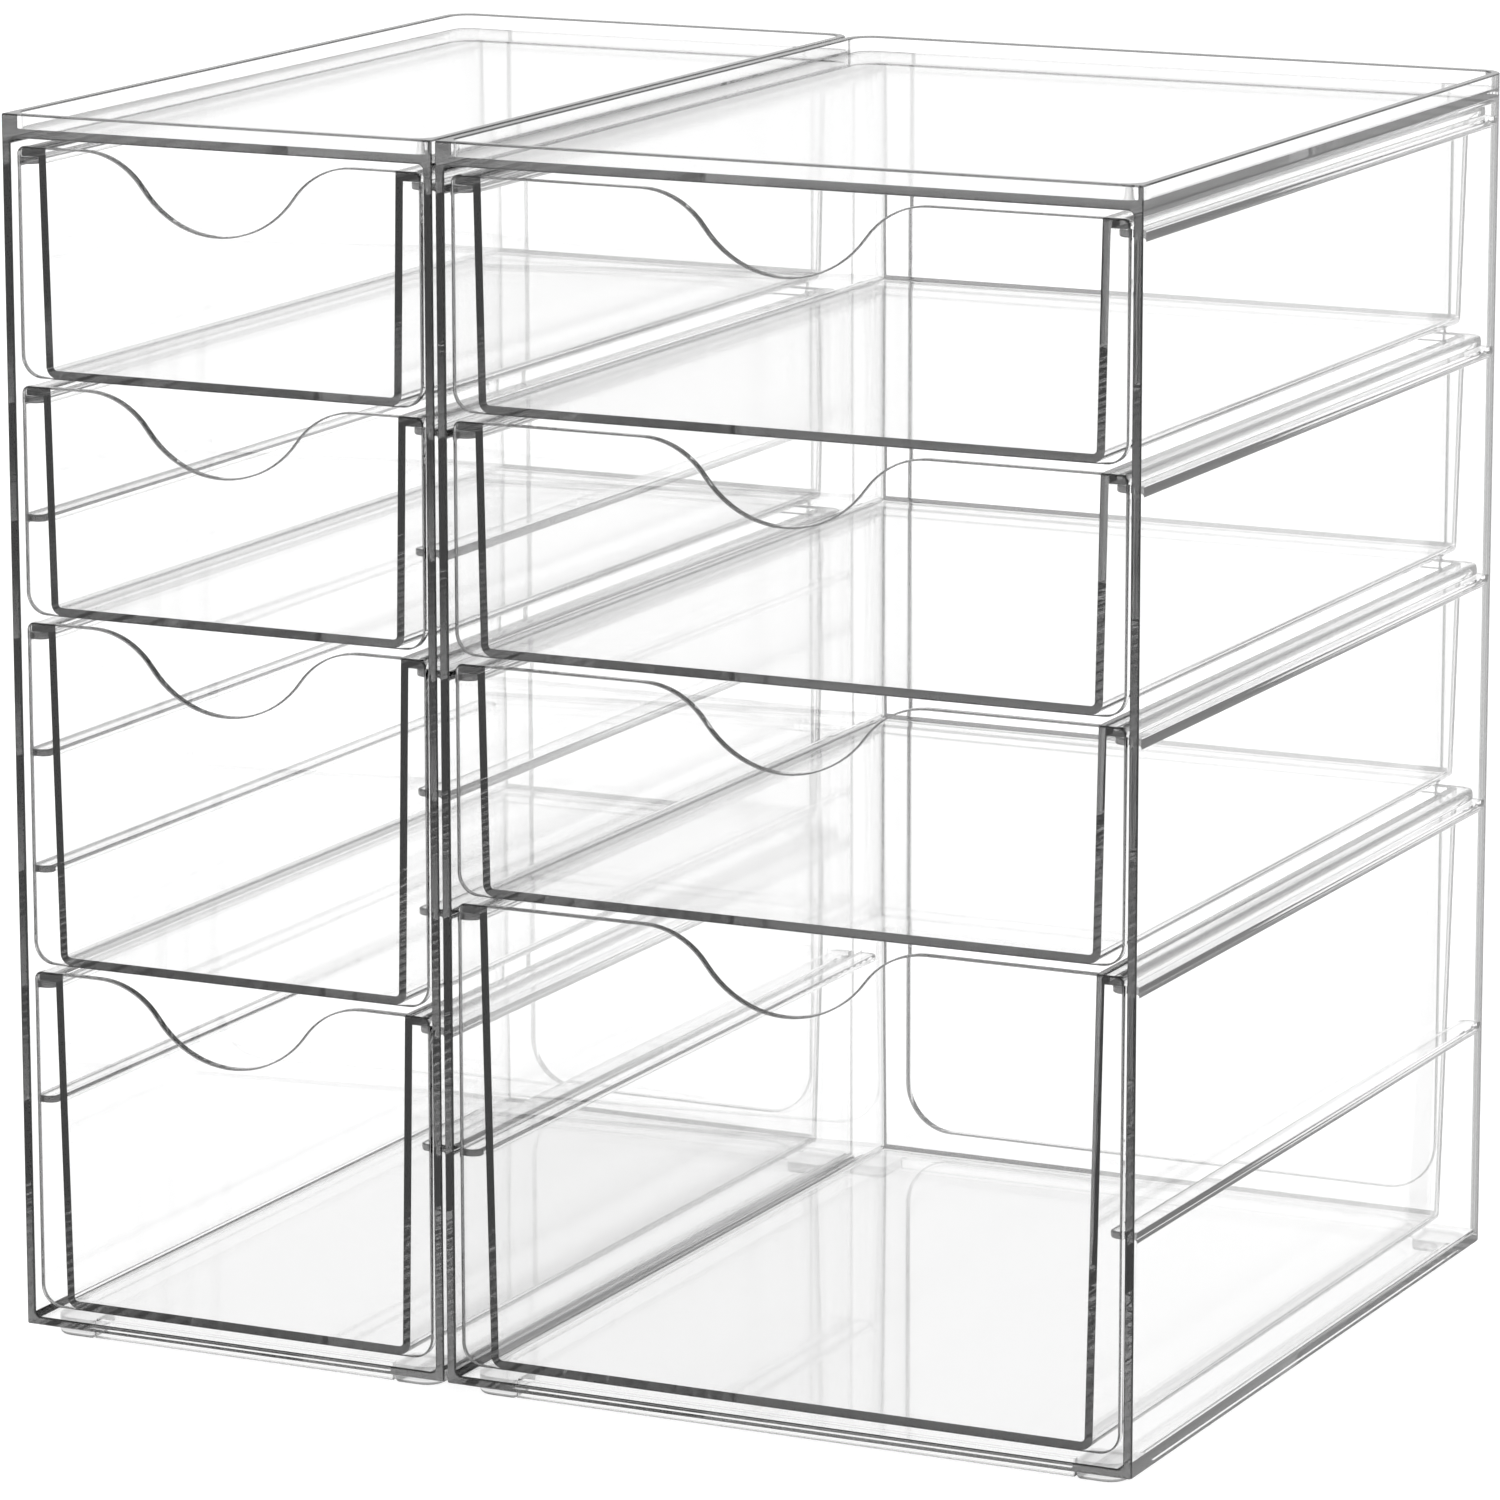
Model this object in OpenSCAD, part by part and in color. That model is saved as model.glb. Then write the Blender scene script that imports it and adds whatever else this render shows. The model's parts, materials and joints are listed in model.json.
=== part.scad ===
// Pair of clear drawer towers, a narrow one and a wide one, standing side by side.
// Each tower is a one-piece case that is open at the front, four drawers that hang by
// their side flanges on runners moulded inside the case, and four soft corner pads.
// Millimetres. +Z is up and the drawers open towards -Y. The origin is on the table,
// under the middle of the pair.

/* [Towers] */
// Outer width of the wide tower
wide_w = 178; // [150:1:260]
// Outer width of the narrow tower
narrow_w = 116; // [112:1:160]
// Depth of both towers, front to back
case_d = 230; // [150:1:320]
// Open space between the two towers
row_gap = 0.9; // [0.5:0.1:20]
// Drawer heights in the wide tower, top to bottom, in units of the runner pitch
wide_units = [1, 1, 1, 2]; // [1:1:3]
// Drawer heights in the narrow tower, top to bottom, in units of the runner pitch
narrow_units = [1, 1, 1.5, 1.5]; // [1:0.5:3]

/* [Case] */
// Height that one unit of drawer takes up
pitch = 57.7; // [42:0.1:90]
// Thickness of the case walls
wall = 2.3; // [1.6:0.1:3.5]
// Thickness of the bottom plate
base_t = 2.1; // [1.5:0.1:3]
// Thickness of the top plate
panel_t = 2.1; // [1.5:0.1:4]
// Height of the lip that stands up round the top plate
lip_h = 3.7; // [3:0.1:8]
// Radius of the lip's inner corners
lip_r = 4; // [1:0.5:10]
// Outer radius of the two vertical corners at the back
back_r = 7; // [4:0.5:14]
// Radius of the four corners of the open front
mouth_r = 1.5; // [0.5:0.1:3]

/* [Window in the back] */
// Width of the back wall that is left at each side of the window
window_side = 16.8; // [10:0.1:24]
// Height of the back wall that is left under the window
window_sill = 10.9; // [6:0.1:20]
// Radius of the window's two lower corners
window_r = 12.4; // [4:0.1:20]

/* [Runners] */
// Thickness of a runner
runner_t = 1.8; // [1.2:0.1:2.4]
// Radius of a runner's free corners, seen from above
runner_end_r = 3; // [1:0.5:4]
// Radius of the fillet under a runner, where it meets the wall
runner_root_r = 0.8; // [0.3:0.1:1.5]
// Distance from the back wall to a runner's far end
runner_back_gap = 3; // [1:0.5:10]

/* [Drawers] */
// Thickness of a drawer's sides, back and floor
tub_t = 2; // [1.4:0.1:2.6]
// Thickness of a drawer's front plate
plate_t = 2.2; // [1.6:0.1:3]
// How far the front plate stands back from the case's front
plate_inset = 1; // [0:0.1:4]
// Clearance between a front plate or a flange and the case wall
side_gap = 1.2; // [0.6:0.1:2]
// Clearance between a runner and a drawer's side
tip_gap = 0.8; // [0.4:0.1:1.2]
// Radius of the front plate's lower corners
plate_r = 5.5; // [3:0.5:9]
// Radius of the front plate's upper corners
plate_top_r = 1.8; // [0.5:0.1:2.2]
// Width of a flange, from the drawer's side to its free edge
flange_w = 5.2; // [4:0.1:8]
// Thickness of a flange
flange_t = 2.5; // [1.8:0.1:4]
// How far a flange's free edge stands in from the front plate's side
flange_step = 0.5; // [0.1:0.1:1.5]
// Clearance between a flange and the runner under it
run_gap = 0.2; // [0.1:0.05:0.5]
// Clearance above a flange, to the drawer or plate over it
over_gap = 2; // [1:0.1:4]
// Clearance between a closed drawer's front plate and the runners' ends
stop_gap = 0.3; // [0.2:0.1:1]
// Clearance between a closed drawer and the case's back wall
back_gap = 3.1; // [1:0.1:8]
// Lean of a drawer's sides and back, in degrees
draft = 1.1; // [0.5:0.1:2]
// Outer radius of a drawer's lower edges
tub_edge_r = 3; // [2.7:0.1:5]
// Outer radius of a drawer's two vertical corners at the back
tub_corner_r = 3; // [2.7:0.1:5]

/* [Finger wave] */
// Depth of the wave cut in the top of a front plate
wave_h = 18.5; // [12:0.5:26]
// Radius of the wave's shoulders
shoulder_r = 20; // [12:0.5:22]
// Radius of the bottom of the wave
bowl_r = 25; // [15:0.5:27]

/* [Foot] */
// Clearance between the ridge under a case and the lip of a case that it stands on
nest_gap = 2.2; // [0.5:0.1:5]
// Thickness of the ridge
ridge_t = 2; // [1.2:0.1:3]
// Height of the ridge
ridge_h = 2.9; // [2:0.1:5]
// Outer radius of the ridge's and the pads' corners
ridge_r = 5; // [2.5:0.5:8]
// How much further down than the ridge the pads reach
pad_drop = 0.3; // [0.2:0.1:2]
// Length of a corner pad's sides
pad_l = 11.5; // [9:0.5:20]
// Clearance between a pad and the ends of the ridge
pad_gap = 0.2; // [0.1:0.1:1]
// Thickness of the glue film on a pad
glue_t = 0.1; // [0.05:0.05:0.3]

/* [Hidden] */
$fn = 96;
cut = 1;
// How far a leaning round passes outside the faces that it joins, so that they cross.
seam = 0.003;

foot_h = ridge_h + pad_drop;
hang = run_gap + flange_t + over_gap;
body_inset = wall + side_gap + flange_w;
runner_w = side_gap + flange_w - tip_gap;
runner_y = plate_inset + plate_t + stop_gap;
runner_d = case_d - wall - runner_back_gap - runner_y;
drawer_d = case_d - wall - back_gap - plate_inset;
ridge_inset = wall + nest_gap;
row_w = narrow_w + row_gap + wide_w;

clear_case = [0.88, 0.92, 0.94, 0.45];
clear_drawer = [0.93, 0.96, 0.98, 0.55];
clear_pad = [0.78, 0.8, 0.82, 0.85];

// A tower is a row: name, outer width, drawer heights, and step between runners.
// The narrow case has a runner at each half unit, so it takes drawers of 1.5 units.
NARROW = ["narrow", narrow_w, narrow_units, 0.5];
WIDE = ["wide", wide_w, wide_units, 1];
TOWERS = [NARROW, WIDE];
CORNERS = [["front_left", -1, -1], ["front_right", 1, -1], ["back_left", -1, 1], ["back_right", 1, 1]];

function total(list, n) = n == 0 ? 0 : list[n - 1] + total(list, n - 1);
function label(tower) = tower[0];
function width(tower) = tower[1];
function units(tower) = tower[2];
function stack(tower) = total(units(tower), len(units(tower)));
function runner_step(tower) = tower[3];
function tower_x(tower) = label(tower) == "narrow" ? (narrow_w - row_w) / 2 : (row_w - wide_w) / 2;

// Heights are measured from the underside of the case.
function runner_z(tower, down) = pitch * (stack(tower) - down);
function bay_top(tower) = runner_z(tower, 0) + hang;
function case_h(tower) = bay_top(tower) + panel_t + lip_h;
function runner_places(tower) =
    [for (down = [0 : runner_step(tower) : stack(tower) - 1]) if (down == 0 || down >= 1) down];
function drawer_h(size) = pitch * size - over_gap;

function case_name(tower) = str(label(tower), "_case");
function drawer_name(tower, n) = str(label(tower), "_drawer_", n + 1);
function pad_name(tower, corner) = str(label(tower), "_foot_", corner[0]);

// ---- outlines ----

// Rectangle centred on X that starts at Y = 0, with its own radius at each end's corners.
// An end whose radius is 0 keeps its sharp corners.
module plate_outline(w, d, near_r, far_r) {
    difference() {
        translate([-w / 2, 0]) square([w, d]);
        for (side = [0, 1]) mirror([side, 0]) {
            if (near_r > 0) translate([w / 2 - near_r, near_r]) mirror([0, 1]) corner_bite(near_r);
            if (far_r > 0) translate([w / 2 - far_r, d - far_r]) corner_bite(far_r);
        }
    }
}

// What a round corner takes off a square one.
module corner_bite(r) {
    difference() {
        square(r + cut);
        circle(r);
    }
}

// Half of a tub's section: level on top, leaning in by the draft at its far side and
// rounded where that side meets the floor. It hangs down from Y = 0.
module leaning_section(reach, h, r) {
    toe = reach - h * tan(draft);
    middle = [toe - r / tan(45 + draft / 2), r - h];
    on_side = middle + r * [cos(draft), -sin(draft)];
    translate(middle) circle(r);
    polygon([[0, 0], [0, -h], [middle.x, -h], on_side, [reach, 0]]);
}

// Front view of a tub.
module tub_front(w, h, r) {
    for (side = [0, 1]) mirror([side, 0]) leaning_section(w / 2, h, r);
}

// The wave, centred on X and cut down from Y = 0: two shoulders and a bowl, each arc
// running into the next without a corner.
module wave_outline() {
    turn = acos(1 - wave_h / (shoulder_r + bowl_r));
    half_w = (shoulder_r + bowl_r) * sin(turn);
    joint_x = bowl_r * sin(turn);
    bowl_y = bowl_r - wave_h;
    joint_y = bowl_y - bowl_r * cos(turn);
    difference() {
        polygon([[-half_w, cut], [-half_w, 0], [-joint_x, joint_y], [joint_x, joint_y],
            [half_w, 0], [half_w, cut]]);
        for (side = [-1, 1]) translate([side * half_w, -shoulder_r]) circle(shoulder_r);
    }
    intersection() {
        translate([0, bowl_y]) circle(bowl_r);
        translate([-joint_x, -wave_h - cut]) square([2 * joint_x, joint_y + wave_h + cut]);
    }
}

// ---- case ----

module case(tower) {
    w = width(tower);
    h = case_h(tower);
    color(clear_case) {
        difference() {
            linear_extrude(h) plate_outline(w, case_d, 0, back_r);
            bay(tower);
            translate([0, wall, h - lip_h]) linear_extrude(lip_h + cut)
                plate_outline(w - 2 * wall, case_d - 2 * wall, lip_r, max(lip_r, back_r - wall));
            back_window(tower);
        }
        for (down = runner_places(tower), side = [0, 1])
            mirror([side, 0, 0]) translate([w / 2 - wall, runner_y, runner_z(tower, down)]) runner();
        ridge(w);
    }
}

// The space that the drawers fill.
module bay(tower) {
    w = width(tower) - 2 * wall;
    h = bay_top(tower) - base_t;
    intersection() {
        translate([0, case_d, base_t]) rotate([90, 0, 0]) linear_extrude(case_d + cut)
            plate_outline(w, h, mouth_r, mouth_r);
        translate([0, -cut, 0]) linear_extrude(case_h(tower))
            plate_outline(w, case_d - wall + cut, 0, back_r - wall);
    }
}

module back_window(tower) {
    w = width(tower) - 2 * window_side;
    h = bay_top(tower) - window_sill;
    translate([0, case_d + cut, window_sill]) rotate([90, 0, 0]) linear_extrude(wall + 2 * cut)
        difference() {
            translate([-w / 2, 0]) square([w, h]);
            for (side = [0, 1]) mirror([side, 0])
                translate([w / 2 - window_r, window_r]) mirror([0, 1]) corner_bite(window_r);
        }
}

// A runner on the right-hand wall. The wall's face is at X = 0 and the runner's top at Z = 0.
module runner() {
    tip = runner_t / 2;
    intersection() {
        rotate([90, 0, 0]) mirror([0, 0, 1]) linear_extrude(runner_d) {
            translate([tip - runner_w, -runner_t]) square([runner_w - tip + wall / 2, runner_t]);
            translate([tip - runner_w, -tip]) circle(tip);
            difference() {
                translate([-runner_root_r, -runner_t - runner_root_r])
                    square([runner_root_r + wall / 2, runner_root_r]);
                translate([-runner_root_r, -runner_t - runner_root_r]) circle(runner_root_r);
            }
        }
        translate([0, 0, -runner_t - 2 * runner_root_r]) linear_extrude(2 * runner_t + 2 * runner_root_r)
            plate_outline(2 * runner_w, runner_d, runner_end_r, runner_end_r);
    }
}

// The ridge that drops inside the lip of a tower below. The pads fill its corners.
module ridge(w) {
    difference() {
        translate([0, ridge_inset, -ridge_h]) linear_extrude(ridge_h + base_t / 2) difference() {
            plate_outline(w - 2 * ridge_inset, case_d - 2 * ridge_inset, ridge_r, ridge_r);
            translate([0, ridge_t]) plate_outline(w - 2 * (ridge_inset + ridge_t),
                case_d - 2 * (ridge_inset + ridge_t), ridge_r - ridge_t, ridge_r - ridge_t);
        }
        for (corner = CORNERS) at_corner(w, corner) translate([-cut, -cut, -cut])
            cube([pad_l + pad_gap + cut, pad_l + pad_gap + cut, foot_h + cut]);
    }
}

// ---- drawer ----

module drawer(tower, size) {
    w = width(tower) - 2 * body_inset;
    h = drawer_h(size);
    face_w = w + 2 * flange_w;
    color(clear_drawer) difference() {
        union() {
            tub(w, drawer_d, h, tub_edge_r, tub_corner_r);
            front_bar(face_w, plate_t, h);
            flanges(face_w - 2 * flange_step, h);
        }
        translate([0, plate_t, cut]) tub(w - 2 * tub_t, drawer_d - plate_t - tub_t, h - tub_t + cut,
            tub_edge_r - tub_t, tub_corner_r - tub_t);
        translate([0, plate_t + cut, 0]) rotate([90, 0, 0]) linear_extrude(plate_t + 2 * cut)
            wave_outline();
    }
}

// The outline of a front plate, run back from Y = 0. It hangs down from Z = 0.
module front_bar(w, d, h) {
    rotate([90, 0, 0]) mirror([0, 0, 1]) linear_extrude(d)
        translate([0, -h]) plate_outline(w, h, plate_r, plate_top_r);
}

// The rim that a drawer hangs by, with the front plate's rounding along its upper edges.
module flanges(w, h) {
    intersection() {
        front_bar(w, drawer_d, h);
        translate([0, 0, -flange_t]) linear_extrude(flange_t + cut)
            plate_outline(w, drawer_d, 0, flange_w - flange_step);
    }
}

// A solid block with a tub's outer form: leaning sides and back, upright front.
module tub(w, d, h, edge_r, corner_r) {
    difference() {
        intersection() {
            rotate([90, 0, 0]) mirror([0, 0, 1]) linear_extrude(d) tub_front(w, h, edge_r);
            rotate([90, 0, 90]) linear_extrude(w, center = true) leaning_section(d, h, edge_r);
        }
        for (side = [0, 1]) mirror([side, 0, 0]) translate([w / 2, d, 0]) leaning_bite(h, corner_r);
    }
}

// What rounds the edge between a leaning side and the leaning back. The two planes meet
// at the origin and run down from it. The round's own line leans with them.
module leaning_bite(h, r) {
    centre = (seam - r) / cos(draft);
    translate([centre, centre, 0]) rotate([-draft, 0, 0]) rotate([0, atan(sin(draft)), 0])
        translate([0, 0, -h - cut]) linear_extrude(h + 2 * cut) corner_bite(r);
}

// ---- pad ----

module pad(w, corner) {
    color(clear_pad) at_corner(w, corner) intersection() {
        cube([pad_l, pad_l, foot_h - glue_t]);
        linear_extrude(foot_h) difference() {
            square(pad_l);
            translate([ridge_r, ridge_r]) rotate(180) corner_bite(ridge_r);
        }
    }
}

// Puts a shape whose outer corner is at the origin at a corner of the ridge, standing
// on the table, with its sides running inwards.
module at_corner(w, corner) {
    translate([corner[1] * (w / 2 - ridge_inset), corner[2] > 0 ? case_d - ridge_inset : ridge_inset, -foot_h])
        mirror([corner[1] > 0 ? 1 : 0, 0, 0]) mirror([0, corner[2] > 0 ? 1 : 0, 0]) children();
}

// ---- assembly ----

module place(tower) {
    translate([tower_x(tower), -case_d / 2, foot_h]) children();
}

for (tower = TOWERS) {
    place(tower) case(tower);
    for (n = [0 : len(units(tower)) - 1])
        place(tower)
                translate([0, plate_inset, runner_z(tower, total(units(tower), n)) + run_gap + flange_t])
                    drawer(tower, units(tower)[n]);
    for (corner = CORNERS)
        place(tower) pad(width(tower), corner);
}
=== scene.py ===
# %% [markdown]
# # A pair of clear drawer towers
#
# Two cases stand side by side, and four drawers hang in each one. Every case and
# every drawer is a single moulding in clear polystyrene, and soft silicone pads sit
# under the corners. Clear plastic has no colour of its own to paint: all that the eye
# gets are edges, folds and reflections. So this lesson is about those three.
#
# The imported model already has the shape, to a tenth of a millimetre, and knows which
# drawer slides where. What it lacks is what a mould leaves behind, such as edges that
# are a little rounded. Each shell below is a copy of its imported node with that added.

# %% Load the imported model
import json
import math

import bmesh
import bpy
import numpy as np
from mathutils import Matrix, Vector


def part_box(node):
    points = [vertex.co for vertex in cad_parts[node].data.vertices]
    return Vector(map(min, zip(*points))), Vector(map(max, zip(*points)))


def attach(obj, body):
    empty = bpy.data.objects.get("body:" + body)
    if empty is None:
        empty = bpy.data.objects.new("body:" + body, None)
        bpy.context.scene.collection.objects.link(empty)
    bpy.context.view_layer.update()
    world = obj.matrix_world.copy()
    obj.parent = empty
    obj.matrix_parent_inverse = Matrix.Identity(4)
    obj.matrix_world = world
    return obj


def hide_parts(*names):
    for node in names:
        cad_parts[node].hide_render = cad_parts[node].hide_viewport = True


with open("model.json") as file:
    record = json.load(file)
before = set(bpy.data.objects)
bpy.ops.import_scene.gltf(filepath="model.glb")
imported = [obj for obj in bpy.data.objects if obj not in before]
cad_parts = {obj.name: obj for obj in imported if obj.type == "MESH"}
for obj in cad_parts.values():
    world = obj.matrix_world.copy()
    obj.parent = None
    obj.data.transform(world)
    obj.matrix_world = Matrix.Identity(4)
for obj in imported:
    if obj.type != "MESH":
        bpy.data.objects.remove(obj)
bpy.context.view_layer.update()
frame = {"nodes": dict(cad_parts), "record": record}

# %% [markdown]
# ## Units, colours and nodes
#
# Blender works in metres, and a maker thinks in millimetres, so sizes are written as
# `3 * MM`. Colours are written as the hex codes that a paint program shows. Those are
# sRGB, a scale made for screens, and light adds up on a linear scale, so one function
# turns the first into the second. Another adds a node to any tree: it sets the node's
# own settings, then fills each input with a value or links it to another node. The most
# common setting, a Math node's operation, gets short names.

# %% Small helpers and short names
MM = 0.001


def linear(code):
    """An sRGB hex code as the linear colour that a shader works with."""
    parts = [int(code[i:i + 2], 16) / 255 for i in (1, 3, 5)]
    return [p / 12.92 if p <= 0.04045 else ((p + 0.055) / 1.055) ** 2.4 for p in parts] + [1]


def add(tree, kind, settings, inputs):
    """A new node. An input takes a value, an output, or a node, which gives its first output."""
    node = tree.nodes.new(kind)
    for name, value in settings.items():
        setattr(node, name, value)
    for place, value in inputs.items():
        if isinstance(value, bpy.types.Node):
            value = value.outputs[0]
        if isinstance(value, bpy.types.NodeSocket):
            tree.links.new(value, node.inputs[place])
        else:
            node.inputs[place].default_value = value
    return node


TIMES, LARGER = {"operation": "MULTIPLY"}, {"operation": "MAXIMUM"}
OVER, UNDER = {"operation": "GREATER_THAN"}, {"operation": "LESS_THAN"}
print("mid grey is", [round(c, 3) for c in linear("#808080")])

# %% [markdown]
# ## Camera
#
# The view is from the front right and a little above. A long lens far away keeps the
# upright edges almost parallel, as a catalogue picture does. The camera is placed on a
# ray out from the point that it looks at, so it can be thought of as two angles and a
# distance.

# %% Place the camera
AZIMUTH = math.radians(25.96)
ELEVATION = math.radians(12.067)
ROLL = math.radians(0.095)
DISTANCE = 1.9055
AIM = Vector((-0.00493, 0, 0.13828))
SENSOR_MM = 36
FOCAL_MM = 184.855

camera = bpy.data.objects.new("camera", bpy.data.cameras.new("camera"))
camera.data.sensor_width = SENSOR_MM
camera.data.lens = FOCAL_MM
camera.location = AIM + DISTANCE * Vector((
    math.sin(AZIMUTH) * math.cos(ELEVATION),
    -math.cos(AZIMUTH) * math.cos(ELEVATION),
    math.sin(ELEVATION)))
camera.rotation_euler = (math.pi / 2 - ELEVATION, ROLL, AZIMUTH)
bpy.context.scene.collection.objects.link(camera)
bpy.context.scene.camera = camera
print("camera at", [round(v, 3) for v in camera.location])

# %% [markdown]
# ## Studio
#
# Clear things are lit from all round: inside a white tent, on a sheet of white acrylic
# that glows from below. Then the faces stay white, and only edges and folds, which bend
# the light away, come out grey. A single bright lamp would do the opposite and put hard
# spots on every face. The tent here is an even white world, and the floor is a wide
# sheet with a little light of its own.
#
# Light goes through dozens of walls on its way from the tent to the eye, so the paths
# must be allowed to be long. When they are cut short, false dark bands appear.

# %% Light the set
TENT_LIGHT = 1.0
FLOOR_GLOW = 0.9
FLOOR_COLOUR = "#A0A0A0"
FLOOR_ROUGHNESS = 0.8
FLOOR_REACH = 6.0
CLEAR_BOUNCES = 32
MATT_BOUNCES = 4

world = bpy.data.worlds.new("white_tent")
world.use_nodes = True
tent = world.node_tree.nodes["Background"]
tent.inputs["Color"].default_value = linear("#FFFFFF")
tent.inputs["Strength"].default_value = TENT_LIGHT
bpy.context.scene.world = world

acrylic = bpy.data.materials.new("white_acrylic_sheet")
acrylic.use_nodes = True
sheet = acrylic.node_tree.nodes["Principled BSDF"]
sheet.inputs["Base Color"].default_value = linear(FLOOR_COLOUR)
sheet.inputs["Roughness"].default_value = FLOOR_ROUGHNESS
sheet.inputs["Specular IOR Level"].default_value = 0
sheet.inputs["Emission Color"].default_value = linear("#FFFFFF")
sheet.inputs["Emission Strength"].default_value = FLOOR_GLOW

floor_corners = [
    (x * FLOOR_REACH, y * FLOOR_REACH, 0) for x, y in ((-1, -1), (1, -1), (1, 1), (-1, 1))]
floor_mesh = bpy.data.meshes.new("floor")
floor_mesh.from_pydata(floor_corners, [], [(0, 1, 2, 3)])
floor_mesh.materials.append(acrylic)
floor = bpy.data.objects.new("floor", floor_mesh)
bpy.context.scene.collection.objects.link(floor)

cycles = bpy.context.scene.cycles
cycles.max_bounces = cycles.transmission_bounces = cycles.glossy_bounces = CLEAR_BOUNCES
cycles.diffuse_bounces = MATT_BOUNCES
bpy.context.scene.view_settings.view_transform = "Standard"
print("tent", TENT_LIGHT, "floor glow", FLOOR_GLOW, "bounces", CLEAR_BOUNCES)

# %% [markdown]
# ## Clear polystyrene
#
# General-purpose polystyrene, injection moulded in a polished mould, is the clearest of
# the cheap plastics. Its faces are as smooth as glass, and its IOR is high, about 1.59.
# An even tent gives every face its full share of reflections, more than a real studio
# does, and 1.52 makes up for that. Four things make it look moulded and not cut from
# glass:
#
# - A long way through it is dark. A wall seen square on is clear, and the same wall
#   seen along its edge has swallowed most of the light. That is a volume, and its
#   density says how much is lost in each metre.
# - Rounded edges throw light out of the eye's way. They are narrower than a pixel or
#   two, so their shade is painted: an attribute named `edge_shade` marks them, and the
#   marked faces are tinted grey, a painted shade and no colour of the plastic.
# - A tall round, such as an upright corner, is dark only along its outline, where the
#   eye looks along the surface. That outline is painted shade too: Layer Weight knows
#   how far a face is turned away, and the attribute `upright_round` says where it counts.
# - The melt leaves slow waves in the surface as it cools, about 12 mm apart and only
#   microns deep. They make straight reflections a little unsure of themselves.
#
# The wide level faces, such as floors and shelves, carry the finest of scuffs from the
# things that stand on them. That is a roughness of a few hundredths there, and none
# elsewhere. The silicone of the pads is equally matt all over, so its roughness is one
# number on the shader's own socket.

# %% A shader for clear mouldings
WAVE_LENGTH = 12 * MM
WAVE_DEPTH = 0.002 * MM
SCUFF_LENGTH = 3 * MM
# Where a tall round's painted outline shade starts and where it is full, in Layer Weight's facing.
OUTLINE_STARTS = 0.4
OUTLINE_FULL = 0.6


def clear_plastic(name, ior, density, painted_shade_colour, polish, scuff):
    """A clear plastic. Marked edges are tinted towards a painted shade colour, and level faces may
    be scuffed.
    """
    material = bpy.data.materials.new(name)
    material.use_nodes = True
    tree = material.node_tree
    place = add(tree, "ShaderNodeTexCoord", {}, {}).outputs["Object"]
    edge = add(tree, "ShaderNodeAttribute", {"attribute_name": "edge_shade"}, {})
    upright = add(tree, "ShaderNodeAttribute", {"attribute_name": "upright_round"}, {})
    layer = add(tree, "ShaderNodeLayerWeight", {}, {"Blend": 0.5})
    grazing = add(tree, "ShaderNodeMapRange", {}, {
        "Value": layer.outputs["Facing"], "From Min": OUTLINE_STARTS, "From Max": OUTLINE_FULL})
    outline = add(tree, "ShaderNodeMath", TIMES, {0: upright.outputs["Fac"], 1: grazing})
    shade = add(tree, "ShaderNodeMath", LARGER, {0: edge.outputs["Fac"], 1: outline})
    # Painted shade: the larger of the edge mark and the outline darkens Base Color towards the
    # painted shade colour.
    tint = add(tree, "ShaderNodeMix", {"data_type": "RGBA"}, {
        0: shade, 6: linear("#FFFFFF"), 7: linear(painted_shade_colour)})
    waves = add(tree, "ShaderNodeTexNoise", {}, {
        "Vector": place, "Scale": 1 / WAVE_LENGTH, "Detail": 1})
    bump = add(tree, "ShaderNodeBump", {}, {
        "Height": waves.outputs["Fac"], "Distance": WAVE_DEPTH})
    shader = tree.nodes["Principled BSDF"]
    shader.inputs["Transmission Weight"].default_value = 1
    shader.inputs["IOR"].default_value = ior
    shader.inputs["Roughness"].default_value = polish
    tree.links.new(tint.outputs[2], shader.inputs["Base Color"])
    tree.links.new(bump.outputs["Normal"], shader.inputs["Normal"])
    if scuff > polish:
        level = add(tree, "ShaderNodeAttribute", {"attribute_name": "level_face"}, {})
        scuffs = add(tree, "ShaderNodeTexNoise", {}, {
            "Vector": place, "Scale": 1 / SCUFF_LENGTH, "Detail": 3})
        worn = add(tree, "ShaderNodeMath", TIMES, {
            0: level.outputs["Fac"], 1: scuffs.outputs["Fac"]})
        roughness = add(tree, "ShaderNodeMapRange", {}, {
            "Value": worn, "To Min": polish, "To Max": scuff})
        tree.links.new(roughness.outputs["Result"], shader.inputs["Roughness"])
    depth = add(tree, "ShaderNodeVolumeAbsorption", {}, {
        "Color": linear("#000000"), "Density": density})
    tree.links.new(depth.outputs["Volume"], tree.nodes["Material Output"].inputs["Volume"])
    return material


# Moulded clear polystyrene: glass-smooth, colourless, dark only along a wall.
# The grey #4C4C4C is painted shade on marked edges, folds and outlines, not a colour of the
# plastic.
POLYSTYRENE = {"ior": 1.52, "density": 7, "painted_shade_colour": "#4C4C4C", "polish": 0.0, "scuff": 0.06}
case_plastic = clear_plastic("clear_polystyrene_case_moulded", **POLYSTYRENE)
# The drawers come from the same pellets and another mould.
drawer_plastic = clear_plastic("clear_polystyrene_drawer_moulded", **POLYSTYRENE)
# Silicone rubber, moulded in a blasted mould: milky at the skin, with a soft shine all over.
# The grey #8C8C8C is painted shade on the pad's rounded lower edge, not a colour of the silicone.
SILICONE = {"ior": 1.41, "density": 40, "painted_shade_colour": "#8C8C8C", "polish": 0.35, "scuff": 0}
pad_rubber = clear_plastic("clear_silicone_rubber_moulded", **SILICONE)
print("materials:", case_plastic.name, drawer_plastic.name, pad_rubber.name)
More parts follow.
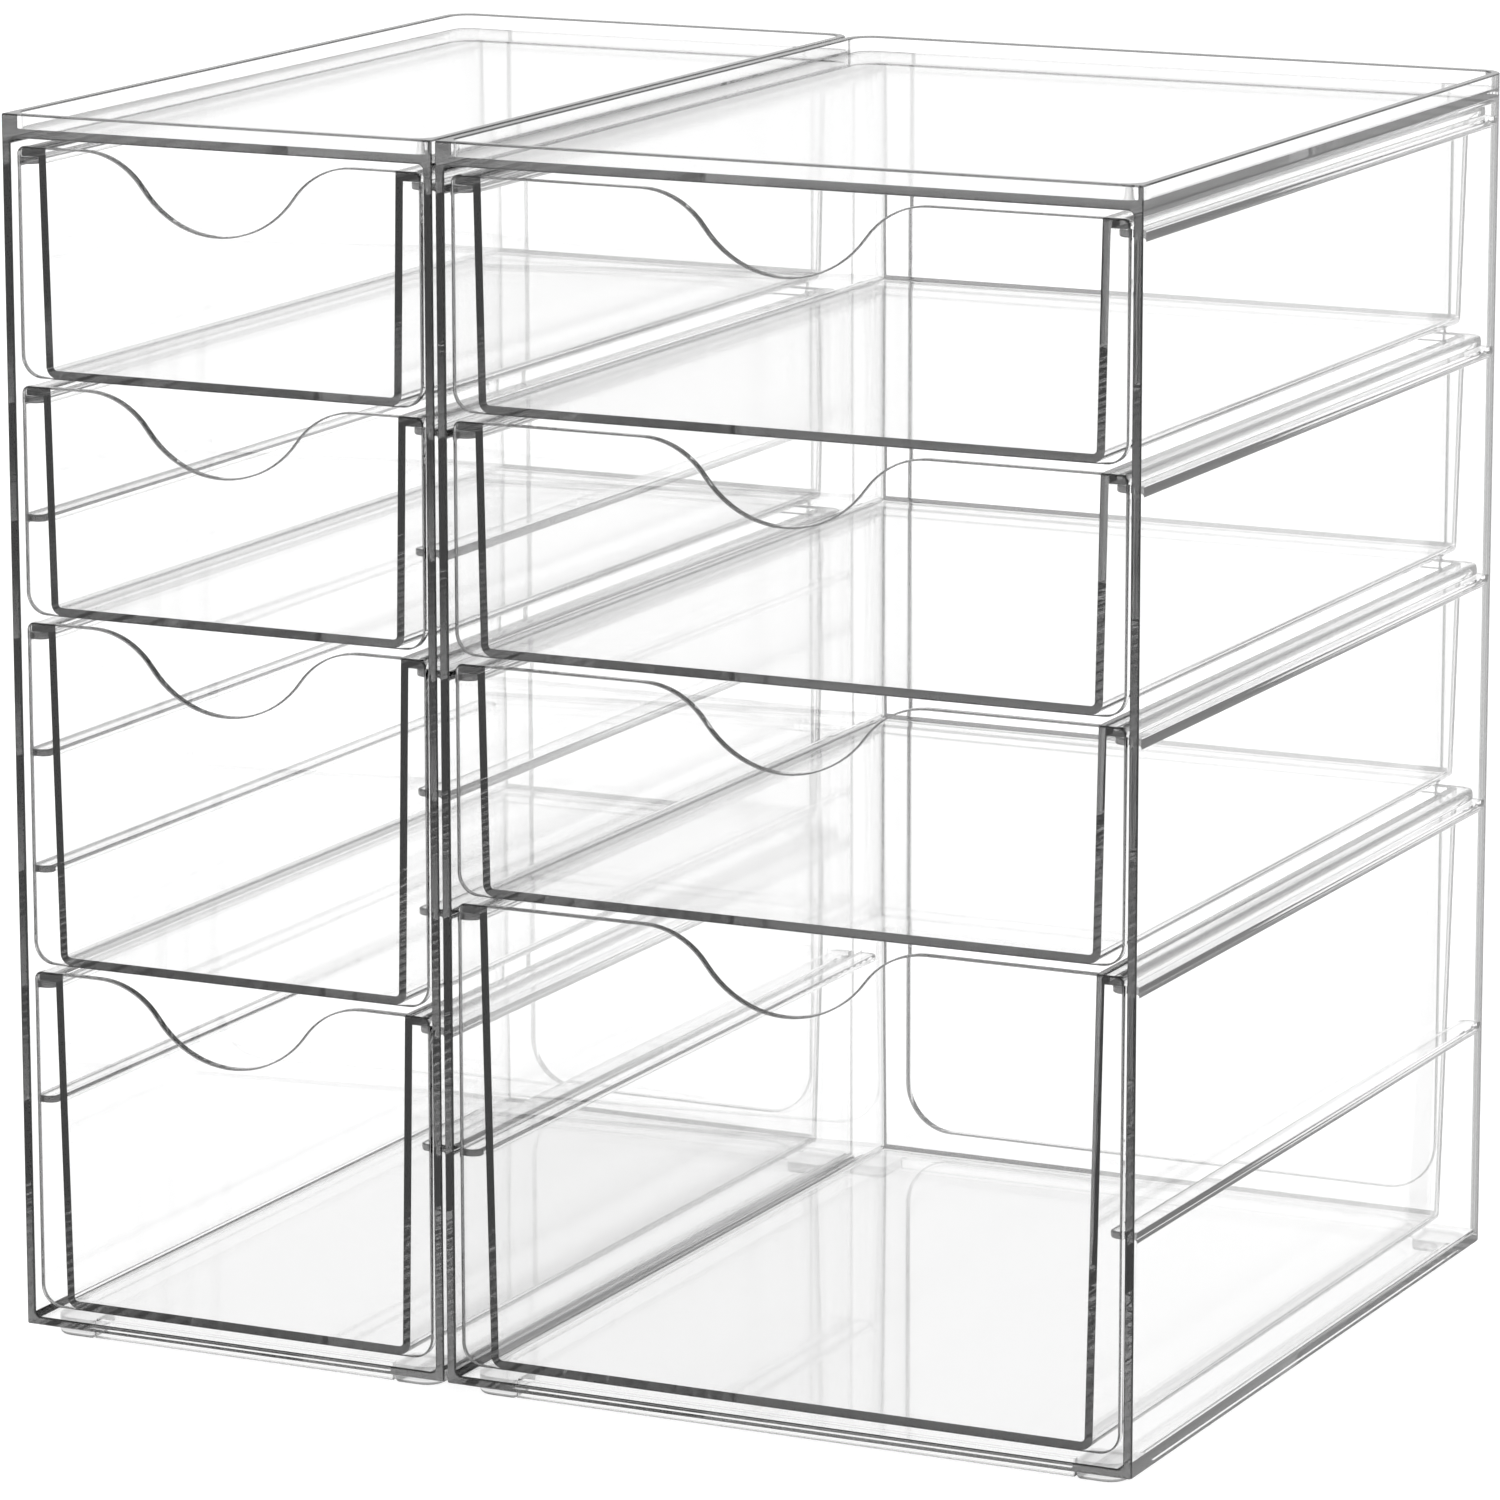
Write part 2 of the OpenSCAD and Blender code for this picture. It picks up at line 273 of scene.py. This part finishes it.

# %% [markdown]
# ## From CAD triangles to whole faces
#
# A imported node comes as loose triangles. For a painted part that would do, and for a
# clear one it won't: a bevel needs to know which edges are real corners, and a smooth
# normal needs to know which triangles belong to one flat wall. So each copy has its
# doubles merged, and triangles that lie in one plane are joined into one face.
#
# Then the copy is marked. An edge that sticks out, with a corner of more than 35
# degrees, gets a bevel weight of 1. Inner corners are left alone. Two kinds of round
# bend the light as an edge does, and they are marked too, for painted shade. Narrow
# strips that bend inwards are the small rounds at the foot of a wall, marked `fold`:
# their painted shade is full across the back, and less than half along the sides,
# where the light comes in from the next wall. Tall strips that bend outwards are the
# upright corners at the back, marked `tall_round`. The one at the right-hand end of the
# row closes the outline of the whole object, so it gets the full painted shade, up to
# where it faces almost straight back. The others get a very light one.

# %% Copy a node and mark its edges and rounds
DOUBLE_POINT = 0.01 * MM
ONE_PLANE = math.radians(0.5)
CORNER = math.radians(35)
SHORTEST_EDGE = 0.09 * MM
LEAST_BEND = math.radians(1)
MOST_BEND = math.radians(20)
FOLD_RADIUS = 1.2 * MM
# Painted shade on a fold that runs along a side, as a share of one that runs across.
FOLD_ALONG = 0.45
LOOKS_DOWN = -0.1
BACK_RADIUS = 8 * MM
TALL = 40 * MM
# Painted shade on tall rounds: full at the row's right-hand end until a strip faces this far back,
# WITHIN_ROW on any other.
FACES_BACK = 0.96
WITHIN_ROW = 0.075
ROW_END = max(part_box(node)[1].x for node in frame["nodes"])


def round_radius(face, way):
    """The radius of a strip's round, which bends outwards (way 1) or inwards (way -1)."""
    longest = max(edge.calc_length() for edge in face.edges)
    sides = [edge for edge in face.edges if edge.calc_length() > longest / 2]
    turns = [way * edge.calc_face_angle_signed(0) for edge in sides]
    turns = [turn for turn in turns if LEAST_BEND < turn < MOST_BEND]
    return face.calc_area() / longest / max(turns) if turns else math.inf


def painted_fold_shade(face):
    """The painted shade on a strip of a tight inner round: 1 if it runs across, less if it runs
    along, or 0.
    """
    if face.normal.z < LOOKS_DOWN or round_radius(face, -1) > FOLD_RADIUS:
        return 0.0
    return 1.0 if abs(face.normal.y) > abs(face.normal.x) else FOLD_ALONG


def is_tall_round(face):
    """True for an upright strip of an outer round."""
    heights = [corner.co.z for corner in face.verts]
    return max(heights) - min(heights) > TALL and round_radius(face, 1) < BACK_RADIUS


def painted_corner_shade(face):
    """The painted shade on an upright strip: 1 where it ends the row on the right, a little on any
    other, or 0.
    """
    if not is_tall_round(face):
        return 0.0
    ends_row = ROW_END - face.verts[0].co.x < BACK_RADIUS and face.normal.y < FACES_BACK
    return 1.0 if ends_row else WITHIN_ROW


def marked_copy(node, name):
    """A copy of a node's mesh with whole faces, bevel weights, and its rounds marked for painted
    shade.
    """
    mesh = frame["nodes"][node].data.copy()
    mesh.name = name
    shape = bmesh.new()
    shape.from_mesh(mesh)
    bmesh.ops.remove_doubles(shape, verts=shape.verts, dist=DOUBLE_POINT)
    bmesh.ops.dissolve_limit(
        shape, angle_limit=ONE_PLANE, verts=shape.verts, edges=shape.edges, delimit=set())
    weight = shape.edges.layers.float.new("bevel_weight_edge")
    fold = shape.faces.layers.float.new("fold")
    tall_round = shape.faces.layers.float.new("tall_round")
    for edge in shape.edges:
        sticks_out = edge.calc_face_angle_signed(0) > CORNER
        edge[weight] = float(sticks_out and edge.calc_length() > SHORTEST_EDGE)
    for face in shape.faces:
        face[fold] = painted_fold_shade(face)
        face[tall_round] = painted_corner_shade(face)
    shape.to_mesh(mesh)
    shape.free()
    return mesh


sample = marked_copy("wide_drawer_1", "sample")
print("wide_drawer_1 has", len(sample.polygons), "whole faces")
bpy.data.meshes.remove(sample)

# %% [markdown]
# ## A tree that paints shade on edges by rule
#
# How dark an edge looks is painted shade, and it follows a few rules that are the same
# on every moulding, so a Geometry Nodes tree is a good place for them. It looks at each
# face and writes one number, `edge_shade`, the strength of the painted shade:
#
# - 1 on the rounded edges, which the Bevel modifier leaves in material slot 1
# - less on those near the table, where light comes in from below as well
# - the marks on folds and tall rounds, each times a shade of its own
# - 1 on the level rim along the very top, a narrow face seen with the wall's whole
#   height under it
#
# It writes `upright_round` on all tall rounds, where the shader paints shade along the
# outline, and `level_face` on wide level faces too, and sets the material at the end. The
# sizes and shades are inputs with names, so a case and a drawer share the tree.

# %% Helpers for Geometry Nodes trees
WRITE = {"data_type": "FLOAT", "domain": "FACE"}
READ = {"data_type": "FLOAT"}


def new_tree(name, numbers, others):
    """A tree with named inputs. Gives the tree, what comes in, and each input's identifier."""
    tree = bpy.data.node_groups.new(name, "GeometryNodeTree")
    keys = {}
    kinds = {"Geometry": "Geometry", **dict.fromkeys(numbers, "Float"), **others}
    for title, kind in kinds.items():
        keys[title] = tree.interface.new_socket(
            title, in_out="INPUT", socket_type="NodeSocket" + kind).identifier
    tree.interface.new_socket("Geometry", in_out="OUTPUT", socket_type="NodeSocketGeometry")
    return tree, add(tree, "NodeGroupInput", {}, {}).outputs, keys


def end_tree(tree, geometry, material):
    """Turns instances into real faces, gives all faces the material, and closes the tree."""
    real = add(tree, "GeometryNodeRealizeInstances", {}, {0: geometry})
    coated = add(tree, "GeometryNodeSetMaterial", {}, {"Geometry": real, "Material": material})
    add(tree, "NodeGroupOutput", {}, {0: coated})
    print(tree.name, "has", len(tree.nodes), "nodes")


print("tree helpers are ready:", new_tree.__name__, "and", end_tree.__name__)

# %% Start the shading tree with the edges
shade_tree, given, SHADE_KEYS = new_tree("edge_shading", (
    "Edge Shade", "Fold Shade", "Corner Shade", "Foot Shade", "Foot Height", "Rim Shade",
    "Rim Height", "Level Area"), {"Material": "Material"})

smooth = add(shade_tree, "GeometryNodeSetShadeSmooth", {"domain": "FACE"}, {
    "Geometry": given["Geometry"], "Shade Smooth": True})
position = add(shade_tree, "GeometryNodeInputPosition", {}, {})
height = add(shade_tree, "ShaderNodeSeparateXYZ", {}, {0: position}).outputs["Z"]
# Painted shade on the rounded edges, weaker near the table.
slot_number = add(shade_tree, "GeometryNodeInputMaterialIndex", {}, {})
near_table = add(shade_tree, "ShaderNodeMath", UNDER, {0: height, 1: given["Foot Height"]})
edge_here = add(shade_tree, "ShaderNodeMix", {"data_type": "FLOAT"}, {
    0: near_table, 2: given["Edge Shade"], 3: given["Foot Shade"]})
on_edge = add(shade_tree, "ShaderNodeMath", TIMES, {0: slot_number, 1: edge_here})
print("edges use", len(shade_tree.nodes), "nodes")

# %% Add the folds, the tall rounds and the rim
UPWARDS = 0.9

# Painted shade on folds, tall rounds and the top rim, each times its own strength.
fold_mark = add(shade_tree, "GeometryNodeInputNamedAttribute", READ, {"Name": "fold"})
on_fold = add(shade_tree, "ShaderNodeMath", TIMES, {0: fold_mark, 1: given["Fold Shade"]})
round_mark = add(shade_tree, "GeometryNodeInputNamedAttribute", READ, {"Name": "tall_round"})
on_round = add(shade_tree, "ShaderNodeMath", TIMES, {0: round_mark, 1: given["Corner Shade"]})

normal = add(shade_tree, "GeometryNodeInputNormal", {}, {}).outputs["True Normal"]
facing_up = add(shade_tree, "ShaderNodeSeparateXYZ", {}, {0: normal}).outputs["Z"]
looks_up = add(shade_tree, "ShaderNodeMath", OVER, {0: facing_up, 1: UPWARDS})
at_top = add(shade_tree, "ShaderNodeMath", OVER, {0: height, 1: given["Rim Height"]})
top_face = add(shade_tree, "ShaderNodeMath", TIMES, {0: looks_up, 1: at_top})
on_rim = add(shade_tree, "ShaderNodeMath", TIMES, {0: top_face, 1: given["Rim Shade"]})

darkest = on_edge
for other in (on_fold, on_round, on_rim):
    darkest = add(shade_tree, "ShaderNodeMath", LARGER, {0: darkest, 1: other})
shaded = add(shade_tree, "GeometryNodeStoreNamedAttribute", WRITE, {
    "Geometry": smooth, "Name": "edge_shade", "Value": darkest})
print("edges, folds, rounds and rim use", len(shade_tree.nodes), "nodes")

# %% Write the other two marks and end the tree
LEVEL = 0.99

# Where the shader paints shade along a tall round's outline.
is_upright = add(shade_tree, "ShaderNodeMath", OVER, {0: round_mark, 1: 0})
outlined = add(shade_tree, "GeometryNodeStoreNamedAttribute", WRITE, {
    "Geometry": shaded, "Name": "upright_round", "Value": is_upright})

area = add(shade_tree, "GeometryNodeInputMeshFaceArea", {}, {})
wide_enough = add(shade_tree, "ShaderNodeMath", OVER, {0: area, 1: given["Level Area"]})
tilt = add(shade_tree, "ShaderNodeMath", {"operation": "ABSOLUTE"}, {0: facing_up})
lies_flat = add(shade_tree, "ShaderNodeMath", OVER, {0: tilt, 1: LEVEL})
level_face = add(shade_tree, "ShaderNodeMath", TIMES, {0: wide_enough, 1: lies_flat})
scuffed = add(shade_tree, "GeometryNodeStoreNamedAttribute", WRITE, {
    "Geometry": outlined, "Name": "level_face", "Value": level_face})
end_tree(shade_tree, scuffed, given["Material"])

# %% [markdown]
# ## Rounded edges and honest normals
#
# A mould can't make a knife edge, and a polished steel insert rounds each one by about
# 0.4 mm. The Bevel modifier cuts that round on the weighted edges. It mustn't clamp: a
# drawer has a few very short edges where its rounds meet, and clamping to those would
# shrink every bevel on it. Without the clamp, a few of the bevel's points land on top of
# each other there, so they are merged afterwards and leave no empty faces behind.
#
# Blender's usual smooth normals average all the faces round a corner. On a painted part
# that is fine. On a clear wall, a normal that is bent by one degree moves all that is
# seen through it. So the normals are set one by one: a wide face keeps its own direction,
# and a narrow strip beside it leans from that direction to its other neighbour's.

# %% Bake modifiers and set the normals
SAME_POINT = 0.002 * MM
ONE_SURFACE = math.cos(math.radians(50))
# A face has a say in a normal if this many times its width is more than the widest one's.
SAY = 3


def baked(thing):
    """Turns an object's modifiers into its mesh, and removes them."""
    view = bpy.context.evaluated_depsgraph_get()
    view.update()
    mesh = bpy.data.meshes.new_from_object(
        thing.evaluated_get(view), preserve_all_data_layers=True, depsgraph=view)
    thing.modifiers.clear()
    thing.data = mesh
    return mesh


def without_slivers(mesh):
    """Merges the points that a bevel leaves on top of each other, and drops their empty faces."""
    shape = bmesh.new()
    shape.from_mesh(mesh)
    bmesh.ops.remove_doubles(shape, verts=shape.verts, dist=SAME_POINT)
    shape.to_mesh(mesh)
    shape.free()


def face_facts(mesh):
    """Each face's direction, and its width across its longest edge."""
    directions = np.empty(len(mesh.polygons) * 3)
    mesh.polygons.foreach_get("normal", directions)
    areas = np.empty(len(mesh.polygons))
    mesh.polygons.foreach_get("area", areas)
    points = np.empty(len(mesh.vertices) * 3)
    mesh.vertices.foreach_get("co", points)
    points = points.reshape(-1, 3)
    widths = [
        area / max(np.linalg.norm(points[a] - points[b]) for a, b in face.edge_keys)
        for area, face in zip(areas, mesh.polygons)]
    return directions.reshape(-1, 3), widths


def set_normals(mesh):
    """Gives wide faces their own direction, and lets narrow strips lean to their neighbours'."""
    directions, widths = face_facts(mesh)
    around = [[] for _ in mesh.vertices]
    for face in mesh.polygons:
        for point in face.vertices:
            around[point].append(face.index)
    corners = np.empty((len(mesh.loops), 3))
    for face in mesh.polygons:
        own = directions[face.index]
        for corner, point in zip(face.loop_indices, face.vertices):
            near = [f for f in around[point] if directions[f] @ own > ONE_SURFACE]
            widest = max(widths[f] for f in near)
            lean = sum(directions[f] * widths[f] for f in near if widths[f] * SAY > widest)
            corners[corner] = lean / np.linalg.norm(lean)
    mesh.normals_split_custom_set(corners)


print("points nearer than", SAME_POINT / MM, "mm count as one")

# %% [markdown]
# ## The ten shells
#
# Each case and each drawer now goes through the same three steps: copy and mark, round
# and shade, set the normals. The finished shell replaces its imported node, rides on the
# same body, and gets the case's or the drawer's plastic in its one material slot.

# %% Finish the cases and drawers
body_of = {}
for body, members in frame["record"]["behaviour"]["bodies"].items():
    for member in members:
        body_of[member] = body

EDGE_ROUND = 0.4 * MM
EDGE_STEPS = 2
RIM_DEPTH = 0.5 * MM
LIP_TOP = max(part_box(node)[1].z for node in frame["nodes"])
# Strengths of the painted shade on edges, folds, tall rounds, the foot and the rim.
SHADES = {
    "Edge Shade": 1.0, "Fold Shade": 1.0, "Corner Shade": 1.0,
    "Foot Shade": 0.4, "Foot Height": 4 * MM,
    "Rim Shade": 1.0, "Rim Height": LIP_TOP - RIM_DEPTH,
    "Level Area": 0.008}


def cover(mesh, material, slots):
    """Gives a mesh its material in each of its slots, and puts every face in the first one."""
    mesh.materials.clear()
    for _ in range(slots):
        mesh.materials.append(material)
    mesh.polygons.foreach_set("material_index", [0] * len(mesh.polygons))


def finished_shell(node, material):
    """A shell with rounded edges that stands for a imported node."""
    name = node + "_shell"
    mesh = marked_copy(node, name)
    cover(mesh, material, slots=2)
    shell = bpy.data.objects.new(name, mesh)
    bpy.context.scene.collection.objects.link(shell)
    bevel = shell.modifiers.new("edge_round", "BEVEL")
    bevel.width = EDGE_ROUND
    bevel.segments = EDGE_STEPS
    bevel.limit_method = "WEIGHT"
    bevel.material = 1
    bevel.use_clamp_overlap = False
    shade = shell.modifiers.new("edge_shading", "NODES")
    shade.node_group = shade_tree
    for title, value in {**SHADES, "Material": material}.items():
        shade[SHADE_KEYS[title]] = value
    mesh = baked(shell)
    without_slivers(mesh)
    cover(mesh, material, slots=1)
    set_normals(mesh)
    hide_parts(node)
    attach(shell, body_of[node])
    return shell


for node in sorted(frame["nodes"]):
    if "_case" in node:
        shell = finished_shell(node, case_plastic)
    elif "_drawer_" in node:
        shell = finished_shell(node, drawer_plastic)
    else:
        continue
    print(shell.name, "has", len(shell.data.polygons), "faces")

# %% [markdown]
# ## Silicone pads
#
# Under each corner sits a soft square pad, 11.5 mm across, that stops the tower from
# sliding. Its outer corner follows the ridge that it sits against, and the edge that
# it stands on is well rounded, as rubber parts are. One pad is drawn as a stack of
# outlines, each a little smaller than the one above it. The four under a tower are the
# same pad, turned so that the round corner faces outwards, so a tree sets them out on
# a rectangle and turns each one by the quarter that it stands in.

# %% Draw one pad
PAD_ROUNDS = [5 * MM, 1.2 * MM, 1.2 * MM, 1.2 * MM]
PAD_EDGE = 0.9 * MM
STEPS = 6


def pad_outline(side, inset):
    """A rounded square whose first corner, at the lower left, has the large round."""
    points = []
    for quarter, (x, y) in enumerate([(-1, -1), (1, -1), (1, 1), (-1, 1)]):
        radius = PAD_ROUNDS[quarter]
        for step in range(STEPS + 1):
            angle = math.pi * (1 + quarter / 2 + step / STEPS / 2)
            points.append((
                x * (side / 2 - radius) + (radius - inset) * math.cos(angle),
                y * (side / 2 - radius) + (radius - inset) * math.sin(angle)))
    return points


def pad_mesh(side, low, high):
    """A pad from its rounded lower edge at the height low up to the height high."""
    rings = []
    for step in range(STEPS + 1):
        turn = math.pi / 2 * step / STEPS
        inset, height = PAD_EDGE * (1 - math.sin(turn)), low + PAD_EDGE * (1 - math.cos(turn))
        rings.append([(x, y, height) for x, y in pad_outline(side, inset)])
    rings.append([(x, y, high) for x, y in pad_outline(side, 0)])
    count = len(rings[0])
    points = [point for ring in rings for point in ring]
    faces = [list(range(count))[::-1], list(range(len(points) - count, len(points)))]
    for ring in range(len(rings) - 1):
        for step in range(count):
            after = (step + 1) % count
            faces.append([
                ring * count + step, ring * count + after,
                (ring + 1) * count + after, (ring + 1) * count + step])
    mesh = bpy.data.meshes.new("pad")
    mesh.from_pydata(points, [], faces)
    return mesh


print("a pad's outline has", len(PAD_ROUNDS) * (STEPS + 1), "points")

# %% A tree that sets four pads out
ROUND_CORNER_AT = math.radians(-135)

pads_tree, given, PAD_KEYS = new_tree(
    "pads_at_corners", ("Length", "Width", "Edge Height"),
    {"Centre": "Vector", "Material": "Material"})
position = add(pads_tree, "GeometryNodeInputPosition", {}, {})
height = add(pads_tree, "ShaderNodeSeparateXYZ", {}, {0: position}).outputs["Z"]
# Painted shade on the pad's rounded lower edge, stored as edge_shade.
on_round = add(pads_tree, "ShaderNodeMath", UNDER, {0: height, 1: given["Edge Height"]})
pad = add(pads_tree, "GeometryNodeStoreNamedAttribute", WRITE, {
    "Geometry": given["Geometry"], "Name": "edge_shade", "Value": on_round})

grid = add(pads_tree, "GeometryNodeMeshGrid", {}, {
    "Size X": given["Width"], "Size Y": given["Length"], "Vertices X": 2, "Vertices Y": 2})
corners = add(pads_tree, "GeometryNodeTransform", {}, {
    "Geometry": grid, "Translation": given["Centre"]})
from_centre = add(pads_tree, "ShaderNodeVectorMath", {"operation": "SUBTRACT"}, {
    0: position, 1: given["Centre"]})
apart = add(pads_tree, "ShaderNodeSeparateXYZ", {}, {0: from_centre})
across = add(pads_tree, "ShaderNodeMath", {"operation": "SIGN"}, {0: apart.outputs["X"]})
along = add(pads_tree, "ShaderNodeMath", {"operation": "SIGN"}, {0: apart.outputs["Y"]})
corner_at = add(pads_tree, "ShaderNodeMath", {"operation": "ARCTAN2"}, {0: along, 1: across})
turn = add(pads_tree, "ShaderNodeMath", {"operation": "SUBTRACT"}, {
    0: corner_at, 1: ROUND_CORNER_AT})
turned = add(pads_tree, "ShaderNodeCombineXYZ", {}, {"Z": turn})
rotation = add(pads_tree, "FunctionNodeEulerToRotation", {}, {0: turned})
placed = add(pads_tree, "GeometryNodeInstanceOnPoints", {}, {
    "Points": corners, "Instance": pad, "Rotation": rotation})
end_tree(pads_tree, placed, given["Material"])

# %% Set the pads under both towers
for tower in ("narrow", "wide"):
    nodes = [
        f"{tower}_foot_{end}_{side}" for end in ("front", "back") for side in ("left", "right")]
    boxes = [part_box(node) for node in nodes]
    middles = [(low + high) / 2 for low, high in boxes]
    low, high = boxes[0]
    one = pad_mesh(high.x - low.x, low.z, high.z)
    pads = bpy.data.objects.new(tower + "_corner_pads", one)
    bpy.context.scene.collection.objects.link(pads)
    layout = pads.modifiers.new("pads_at_corners", "NODES")
    layout.node_group = pads_tree
    centre = sum(middles, Vector()) / 4
    layout[PAD_KEYS["Centre"]] = (centre.x, centre.y, 0)
    layout[PAD_KEYS["Width"]] = middles[1].x - middles[0].x
    layout[PAD_KEYS["Length"]] = middles[2].y - middles[0].y
    layout[PAD_KEYS["Edge Height"]] = low.z + PAD_EDGE
    layout[PAD_KEYS["Material"]] = pad_rubber
    mesh = baked(pads)
    set_normals(mesh)
    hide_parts(*nodes)
    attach(pads, body_of[nodes[0]])
    print(pads.name, "has", len(mesh.polygons), "faces")
